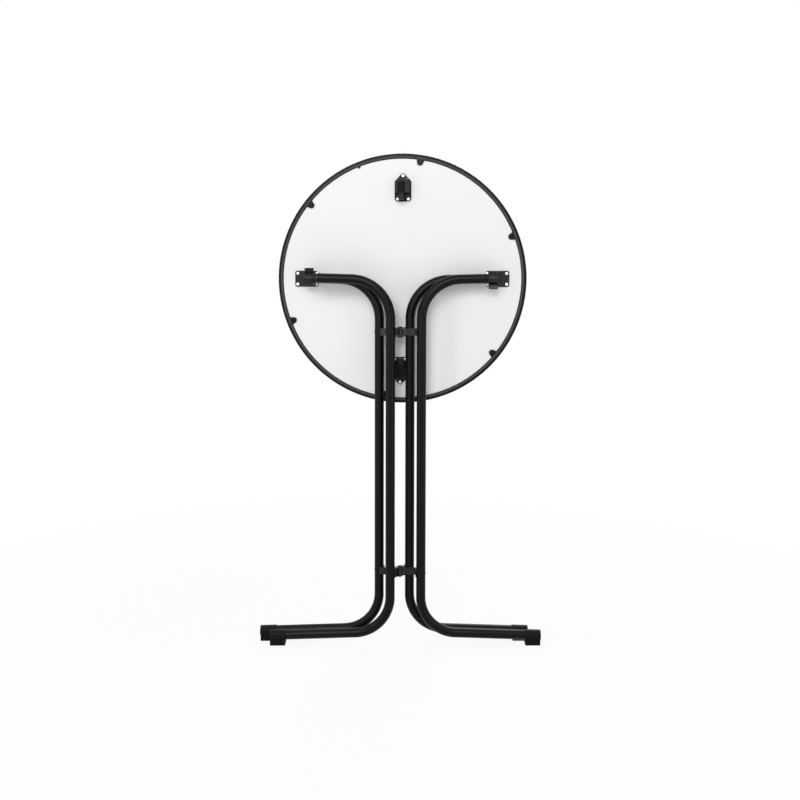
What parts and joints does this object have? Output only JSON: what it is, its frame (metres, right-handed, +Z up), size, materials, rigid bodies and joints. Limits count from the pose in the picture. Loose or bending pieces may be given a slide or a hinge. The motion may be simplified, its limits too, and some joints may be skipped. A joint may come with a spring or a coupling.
{
  "type": "folding bar table",
  "caption": "Round folding bar table, stowed: the top hangs upright behind two nested tube frames that turn on a vertical pivot.",
  "frame": {"origin": "on the floor, at the middle of the stowed table seen from above", "axes": "+X along the hinge axis of the top, +Z up, +Y towards the side on which the top hangs"},
  "size_m": [0.7874, 0.1114, 1.368],
  "materials": {
    "board": "pale smooth laminate",
    "band": "satin moulded",
    "fitting": "satin moulded",
    "screw": "bright zinc",
    "tube": "satin black coating",
    "cap": "satin moulded",
    "plug": "satin moulded",
    "bracket": "satin black coating",
    "rivet": "satin black coating"
  },
  "bodies": {
    "outer_frame": {"outer_tube_left": "tube", "outer_tube_right": "tube", "outer_foot_cap_left": "cap", "outer_foot_cap_right": "cap", "journal_plug_left": "plug", "journal_plug_right": "plug", "outer_bracket_upper": "bracket", "outer_bracket_lower": "bracket", "outer_rivets": "rivet"},
    "inner_frame": {"inner_tube_left": "tube", "inner_tube_right": "tube", "inner_foot_cap_left": "cap", "inner_foot_cap_right": "cap", "arm_plug_left": "plug", "arm_plug_right": "plug", "inner_bracket_upper": "bracket", "inner_bracket_lower": "bracket", "pivot_pin_upper": "rivet", "pivot_pin_lower": "rivet", "inner_rivets": "rivet"},
    "table_top": {"board": "board", "edge_band": "band", "hinge_left": "fitting", "hinge_right": "fitting", "hinge_screws": "screw", "latch_upper": "fitting", "latch_lower": "fitting", "latch_screws": "screw"}
  },
  "joints": [
    {"name": "top_tilt", "type": "hinge", "parent": "outer_frame", "child": "table_top", "pos_m": [0, -0.00505, 1.018], "axis": [1, 0, 0], "range_deg": [0, 90]},
    {"name": "frame_open", "type": "hinge", "parent": "outer_frame", "child": "inner_frame", "pos_m": [0, -0.00505, 0.55], "axis": [0, 0, 1], "range_deg": [0, 0.6]}
  ]
}
